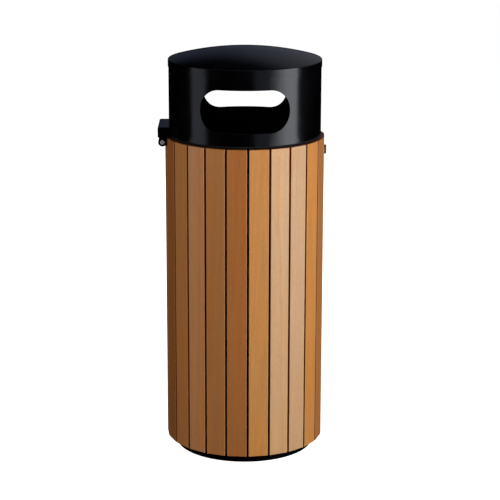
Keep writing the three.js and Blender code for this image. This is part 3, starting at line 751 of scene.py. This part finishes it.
def add_hood():
    """The rolled sheet with its two openings, the band inside its lower edge, and the dome."""
    outer = radii("hood_shell")[1]
    inner = radii("hood_stiffener")[1] + 0.5 * MM
    low, high = heights("hood_shell")
    sheet = hood_sheet("hood_skin", outer, low, high, *aperture())
    skin = piece("hood_skin", sheet, "hood", "black_coat", "hood_shell")
    thickness = skin.modifiers.new("thickness", "SOLIDIFY")
    thickness.thickness = outer - inner
    thickness.offset = -1
    easing = skin.modifiers.new("easing", "BEVEL")
    easing.width = SHEET_EASING
    easing.segments = 2
    easing.limit_method = "ANGLE"
    easing.angle_limit = math.radians(40)
    skin.modifiers.move(0, 2)          # the weighted normals come last

    stiffener = mesh_from("stiffener_band", *ring("hood_stiffener", 0.9 * MM, HOOD_SEGMENTS))
    piece("stiffener_band", stiffener, "hood", "black_coat", "hood_stiffener")
    add_dome()


def add_dome():
    """A shallow dome, part of a sphere, with a rolled rim and a short skirt over the hood."""
    outer = radii("dome_cap")[1]
    low, high = heights("dome_cap")
    skirt_inner = outer - SKIRT_WALL
    rise = high - RIM_HEIGHT
    sphere = (outer ** 2 + rise ** 2) / (2 * rise)

    def face(radius, drop):
        """The point of the dome at a radius, on the outer face or a drop below it."""
        return radius, high - drop - sphere + math.sqrt(sphere ** 2 - radius ** 2)

    shares = [step / DOME_STEPS for step in range(DOME_STEPS + 1)]
    under = [face(skirt_inner * share, DOME_WALL) for share in shares]
    over = [face((outer - CROWN_START) * (1 - share), 0) for share in shares[1:]]
    hem_top = low + HEM_HEIGHT
    hem_corners = [(skirt_inner, hem_top), (skirt_inner, low), (outer, low), (outer, hem_top)]
    hem = rounded(hem_corners, HEM_ROUNDING, 3, closed=False)
    rim_corners = [(outer, hem_top), face(outer, 0), face(outer - RIM_REACH, 0)]
    rim = rounded(rim_corners, RIM_ROUNDING, 7, closed=False)[1:-1]
    profile = under + hem + rim + over
    piece("dome", mesh_from("dome", *lathe(profile, HOOD_SEGMENTS, closed=False)), "hood",
          "black_coat", "dome_cap")


# ---------------------------------------------------------------- hinge

PIN_HEAD_HEIGHT = 3 * MM
PIN_HEAD_LIP = 1 * MM                  # how far the head stands out from the shank


def about_y(part, centre_x, centre_z):
    """Places a part turned about Z so that its axis runs along Y, its z becoming y."""
    turn = Matrix(((1, 0, 0, centre_x), (0, 0, 1, 0), (0, -1, 0, centre_z), (0, 0, 0, 1)))
    return moved(part, turn)


def add_hinge():
    """Bracket, block, the pin with a crowned head at each end, and the block's two bolts."""
    piece("hinge_leaf", refined("hinge_bracket", 0.8 * MM), "frame", "black_coat",
          "hinge_bracket")
    piece("hinge_body", refined("hinge_block", 0.9 * MM), "hood", "black_coat", "hinge_block")

    low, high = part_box("hinge_pin")
    centre = (low + high) / 2
    head = (high.z - low.z) / 2
    end = high.y
    shank = head - PIN_HEAD_LIP
    shoulder = end - PIN_HEAD_HEIGHT
    half = [(shank, shoulder), (head, shoulder), (head, end - 1.1 * MM),
            (head - 0.5 * MM, end - 0.45 * MM), (head - 1.4 * MM, end - 0.1 * MM),
            (head - 2.6 * MM, end), (2.2 * MM, end), (1.9 * MM, end - 0.5 * MM),
            (0, end - 0.6 * MM)]
    mirrored = [(radius, -z) for radius, z in reversed(half)]
    pin = about_y(lathe(mirrored + half, SMALL_SEGMENTS, closed=False), centre.x, centre.z)
    piece("hinge_rod", mesh_from("hinge_rod", *pin), "frame", "zinc", "hinge_pin")
    for side in ("front", "rear"):
        node = "hinge_bolt_" + side
        piece("block_bolt_" + side, refined(node, 0.5 * MM), "hood", "zinc", node)


# ---------------------------------------------------------------- lock

LOCK_BARREL_RADIUS = 9.5 * MM
LOCK_BORE_RADIUS = 6.4 * MM
CLEARANCE = 0.3 * MM                   # between pieces that touch


def add_lock():
    """Housing and nut on the frame, plug with cam and screw, and the keeper under the hood."""
    distances = [point.dot(outward(LOCK_AZIMUTH)) for point in points_of("lock_housing")]
    face, back = max(distances), min(distances)
    head = (LOCK_HIGH.z - LOCK_LOW.z) / 2
    seat = slat_frame(SLATS[0])[1] + CLEARANCE
    barrel, bore = LOCK_BARREL_RADIUS, LOCK_BORE_RADIUS
    section = [(bore, back), (barrel, back), (barrel, seat), (head, seat),
               (head, face - 1.5 * MM), (head - 2.0 * MM, face), (bore + 1.2 * MM, face),
               (bore, face - 1.0 * MM)]
    rounding = [0.3 * MM, 0.5 * MM, 0.3 * MM, 0.4 * MM, 1.6 * MM, 1.2 * MM, 0.3 * MM, 0.3 * MM]
    case = along_lock(lathe(rounded(section, rounding), SMALL_SEGMENTS))
    piece("lock_case", mesh_from("lock_case", *case), "frame", "lock_metal", "lock_housing")
    piece("lock_hex_nut", refined("lock_nut", 0.7 * MM), "frame", "zinc", "lock_nut")
    piece("lock_core_plug", refined("lock_plug", 0.25 * MM), "lock_core", "lock_metal",
          "lock_plug")
    piece("lock_cam_arm", refined("lock_cam", 0.5 * MM), "lock_core", "zinc", "lock_cam")
    piece("cam_screw_head", refined("cam_screw", 0.3 * MM), "lock_core", "zinc", "cam_screw")
    piece("keeper_plate", refined("lock_keeper", 0.5 * MM), "hood", "black_coat", "lock_keeper")


# ---------------------------------------------------------------- liner

LINER_WALL = 1.5 * MM
LINER_FLOOR = 17 * MM                  # height of the raised floor's underside
SWAGE_SHARES = (0.16, 0.5, 0.84)       # heights of the swages, as shares of the wall's
SWAGE_DEPTH = 1.8 * MM
SWAGE_HALF_HEIGHT = 9 * MM
SWAGE_STEPS = 6                        # from a swage's edge to its middle
HANDLE_LEG = 34 * MM                   # from the handle's middle to each leg
HANDLE_BEND = 9 * MM
WIRE_SIDES = 20


def add_liner():
    """The drum with its raised floor and pressed swages, its rim band, clips and handles."""
    outer = radii("liner_shell")[1]
    low, high = heights("liner_shell")
    wall, floor = LINER_WALL, LINER_FLOOR
    inner = outer - wall
    swages = [low + (high - low) * share for share in SWAGE_SHARES]

    def wall_line(radius, bottom, top):
        """A straight wall with shallow rolled swages pressed inwards."""
        line = [(radius, bottom)]
        for centre in swages:
            for step in range(-SWAGE_STEPS, SWAGE_STEPS + 1):
                share = step / SWAGE_STEPS
                press = SWAGE_DEPTH * (0.5 + 0.5 * math.cos(math.pi * share))
                line.append((radius - press, centre + share * SWAGE_HALF_HEIGHT))
        return line + [(radius, top)]

    outside = wall_line(outer, low + 0.5 * MM, high - 0.5 * MM)
    inside = wall_line(inner, floor + wall + 4 * MM, high - 0.5 * MM)[::-1]
    fillet = [(inner - 1.2 * MM, floor + wall + 1.2 * MM), (inner - 4 * MM, floor + wall)]
    profile = ([(0, floor), (inner - 1 * MM, floor), (inner, floor - 1 * MM), (inner, low)]
               + outside + [(inner + wall / 2, high)] + inside + fillet + [(0, floor + wall)])
    drum = mesh_from("liner_drum", *lathe(profile, LINER_SEGMENTS, closed=False))
    piece("liner_drum", drum, "liner", "galvanised", "liner_shell")
    band = mesh_from("liner_band", *ring("liner_rim_band", 1.2 * MM, LINER_SEGMENTS))
    piece("liner_band", band, "liner", "galvanised", "liner_rim_band")
    for place in ("front", "rear"):
        for side in ("left", "right"):
            node = f"handle_clip_{place}_{side}"
            piece(f"clip_{place}_{side}", refined(node, 0.8 * MM), "liner", "galvanised", node)
    add_handles()


def swept(path, radius):
    """A round wire along a path in the XZ plane, with rounded ends."""
    vertices, faces, rings = [], [], []
    tangents = []
    for index in range(len(path)):
        before, after = path[max(index - 1, 0)], path[min(index + 1, len(path) - 1)]
        tangents.append((after - before).normalized())
    stations = [(path[0] - tangents[0] * radius * 0.15, tangents[0], 0.55),
                (path[0] - tangents[0] * radius * 0.05, tangents[0], 0.85)]
    stations += [(point, tangent, 1.0) for point, tangent in zip(path, tangents)]
    stations += [(path[-1] + tangents[-1] * radius * 0.05, tangents[-1], 0.85),
                 (path[-1] + tangents[-1] * radius * 0.15, tangents[-1], 0.55)]
    for centre, tangent, share in stations:
        normal = Vector((-tangent.z, 0, tangent.x))
        ring_indices = []
        for side in range(WIRE_SIDES):
            turn = FULL_TURN * side / WIRE_SIDES
            offset = normal * math.cos(turn) + Vector((0, 1, 0)) * math.sin(turn)
            ring_indices.append(len(vertices))
            vertices.append(centre + offset * radius * share)
        rings.append(ring_indices)
    for first, second in zip(rings, rings[1:]):
        for side in range(WIRE_SIDES):
            after = (side + 1) % WIRE_SIDES
            faces.append([first[side], second[side], second[after], first[after]])
    faces.append(rings[0])
    faces.append(rings[-1][::-1])
    return vertices, faces


def add_handles():
    """The two wire handles, each hanging from a pair of clips with its ends turned outwards."""
    for place in ("front", "rear"):
        node = "handle_" + place
        low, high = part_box(node)
        radius = (high.y - low.y) / 2
        axis_y = (high.y + low.y) / 2
        pivot = high.z - radius
        grip = low.z + radius
        end = high.x - 0.1 * radius
        leg = HANDLE_LEG
        corners = [(-end, pivot), (-leg, pivot), (-leg, grip), (leg, grip), (leg, pivot),
                   (end, pivot)]
        path = [Vector((x, 0, z)) for x, z in rounded(corners, HANDLE_BEND, 8, closed=False)]
        wire = moved(swept(path, radius), Matrix.Translation((0, axis_y, 0)))
        piece("bail_" + place, mesh_from("bail_" + place, *wire), place + "_handle",
              "zinc", node)


# ---------------------------------------------------------------- stage, camera and light

FLOOR_HALF_SIZE = 30
FLOOR_DROP = 0.5 * MM                  # below the bin, so that the two don't coincide
FLOOR_GLOW = 0.985                     # lifts the floor to a studio's white

# Panels stand upright round the bin: their azimuths are in degrees, the rest in metres
PANEL_DISTANCE = 2.6
PANEL_HEIGHT = 0.9
PANEL_TALL = 2.7
SOFTBOX_WIDTH = 1.15
DIM_WIDTH = 1.03
FEATHER_WIDTH = 0.182                  # four degrees of azimuth
FEATHERS = ((54.5, 2.5), (50.5, 1.9), (46.5, 1.2), (42.5, 0.65), (38.5, 0.40))
FILL_DISTANCE = 3.5
FILL_HEIGHT = 1.8
FILL_SIZE = 1.6
FILLS = (("right_fill", 45, 7.5), ("left_fill", -30, 6.0), ("back_fill_right", 160, 5.0),
         ("back_fill_left", 205, 6.0))

CAMERA_PLACE = (0, -5.117, 1.926)
CAMERA_LENS = 131.6                    # millimetres, on a sensor 36 mm wide
CAMERA_PITCH = math.radians(75.23)     # from looking straight down
CAMERA_HEADING = -0.003                # radians, as is the roll
CAMERA_ROLL = 0.0024


def add_stage():
    """A plain white floor."""
    s = Surface("floor", 0.0, 0.0)
    s.shader.inputs["Emission Color"].default_value = (1, 1, 1, 1)
    s.shader.inputs["Emission Strength"].default_value = FLOOR_GLOW
    s.shader.inputs["Base Color"].default_value = (0.8, 0.8, 0.8, 1)
    s.shader.inputs["Roughness"].default_value = 1.0
    size = FLOOR_HALF_SIZE
    corners = [(-size, -size, 0), (size, -size, 0), (size, size, 0), (-size, size, 0)]
    floor = bpy.data.objects.new("floor", mesh_from("floor", corners, [[0, 1, 2, 3]]))
    floor.data.materials.append(s.material)
    floor.location.z = -FLOOR_DROP
    bpy.context.collection.objects.link(floor)
    floor.visible_glossy = False
    floor.visible_diffuse = False
    floor.visible_shadow = False


def add_world():
    """White to the camera, a soft fill to matt surfaces, and to glossy ones a low band of light
    that grows brighter and taller towards the right."""
    world = bpy.data.worlds.new("studio")
    bpy.context.scene.world = world
    world.use_nodes = True
    tree = world.node_tree
    tree.nodes.clear()

    def node(kind, inputs=None, **settings):
        made = tree.nodes.new("ShaderNode" + kind)
        for key, value in settings.items():
            setattr(made, key, value)
        for key, value in (inputs or {}).items():
            if isinstance(value, bpy.types.NodeSocket):
                tree.links.new(value, made.inputs[key])
            else:
                made.inputs[key].default_value = value
        return made

    def remap(value, low, high, to_low, to_high):
        return node("MapRange", {"Value": value, "From Min": low, "From Max": high,
                                 "To Min": to_low, "To Max": to_high}).outputs["Result"]

    def combine(operation, first, second):
        return node("Math", {0: first, 1: second}, operation=operation).outputs["Value"]

    # The band's upper edge slants up to the right, and a patch overhead lights the dome
    rays = node("LightPath")
    direction = node("SeparateXYZ", {0: node("TexCoord").outputs["Generated"]})
    right, up = direction.outputs["X"], direction.outputs["Z"]
    slanted = combine("SUBTRACT", up, combine("MULTIPLY", right, 0.9))
    top_edge = remap(slanted, 0.40, 0.56, 1.0, 0.0)
    bottom_edge = remap(up, -0.02, 0.04, 0.0, 1.0)
    level = remap(right, -0.05, 0.14, 0.045, 0.150)
    band = combine("MULTIPLY", level, combine("MULTIPLY", top_edge, bottom_edge))
    zenith = remap(up, 0.80, 0.95, 0.0, 0.16)

    tint = node("Mix", {0: remap(right, -0.05, 0.12, 0.0, 1.0)}, data_type="RGBA")
    tint.inputs[6].default_value = (0.87, 1.0, 1.50, 1)
    tint.inputs[7].default_value = (0.94, 1.0, 1.15, 1)
    strength = combine("ADD", band, zenith)
    glossy = node("Background", {"Color": tint.outputs[2], "Strength": strength})
    fill = node("Background", {"Color": (1.0, 0.98, 0.95, 1), "Strength": 0.03})
    white = node("Background", {"Color": (1, 1, 1, 1), "Strength": 1.05})
    soft = node("MixShader", {"Fac": rays.outputs["Is Glossy Ray"], 1: fill.outputs[0],
                              2: glossy.outputs[0]})
    seen = node("MixShader", {"Fac": rays.outputs["Is Camera Ray"], 1: soft.outputs[0],
                              2: white.outputs[0]})
    node("OutputWorld", {"Surface": seen.outputs[0]})


def add_panel(name, azimuth, width, strength, distance=PANEL_DISTANCE, height=PANEL_HEIGHT,
              tall=PANEL_TALL, color=(1, 1, 1), aim=0.6, glossy=True, diffuse=True):
    """A soft panel round the bin, turned to a point on its axis at the height aim. Strength is
    the panel's brightness, whatever its size."""
    light = bpy.data.lights.new(name, "AREA")
    light.shape = "RECTANGLE"
    light.size = width
    light.size_y = tall
    light.energy = strength * width * tall * math.pi
    light.color = color
    panel = bpy.data.objects.new(name, light)
    bpy.context.collection.objects.link(panel)
    panel.location = outward(math.radians(azimuth)) * distance + Vector((0, 0, height))
    facing = UP * aim - panel.location
    panel.rotation_mode = "QUATERNION"
    panel.rotation_quaternion = facing.to_track_quat("-Z", "Y")
    panel.visible_camera = False
    panel.visible_glossy = glossy
    panel.visible_diffuse = diffuse


def add_lights():
    """A tall softbox on the right whose left edge fades, dim strips, and fills that don't show
    in the gloss."""
    cool = (0.96, 1.00, 1.07)
    add_panel("right_softbox", 69.5, SOFTBOX_WIDTH, 3.1, color=cool)
    for azimuth, strength in FEATHERS:
        add_panel(f"right_feather_{azimuth:.0f}", azimuth, FEATHER_WIDTH, strength, color=cool)
    add_panel("right_dim", 25, DIM_WIDTH, 0.23, color=(0.90, 1.00, 1.20))
    add_panel("left_strip", -71, SOFTBOX_WIDTH, 0.58, color=(0.94, 0.98, 1.14))
    for name, azimuth, strength in FILLS:
        add_panel(name, azimuth, FILL_SIZE, strength, distance=FILL_DISTANCE,
                  height=FILL_HEIGHT, tall=FILL_SIZE, glossy=False)
    add_panel("back_strip", 180, 0.75, 1.6, height=0.0, tall=1.1, aim=0.9, diffuse=False)


def add_camera():
    """The view: from in front, a little above the bin, with a long lens."""
    data = bpy.data.cameras.new("view")
    data.sensor_width = 36
    data.lens = CAMERA_LENS
    camera = bpy.data.objects.new("view", data)
    bpy.context.collection.objects.link(camera)
    place = Matrix.Translation(CAMERA_PLACE)
    heading = Matrix.Rotation(CAMERA_HEADING, 4, "Z")
    pitch = Matrix.Rotation(CAMERA_PITCH, 4, "X")
    roll = Matrix.Rotation(CAMERA_ROLL, 4, "Z")
    camera.matrix_world = place @ heading @ pitch @ roll
    bpy.context.scene.camera = camera


# ---------------------------------------------------------------- assembly

add_slats()
add_frame()
add_hood()
add_hinge()
add_lock()
add_liner()
add_stage()
add_world()
add_lights()
add_camera()
bpy.context.scene.view_settings.view_transform = "Standard"

bpy.context.view_layer.update()
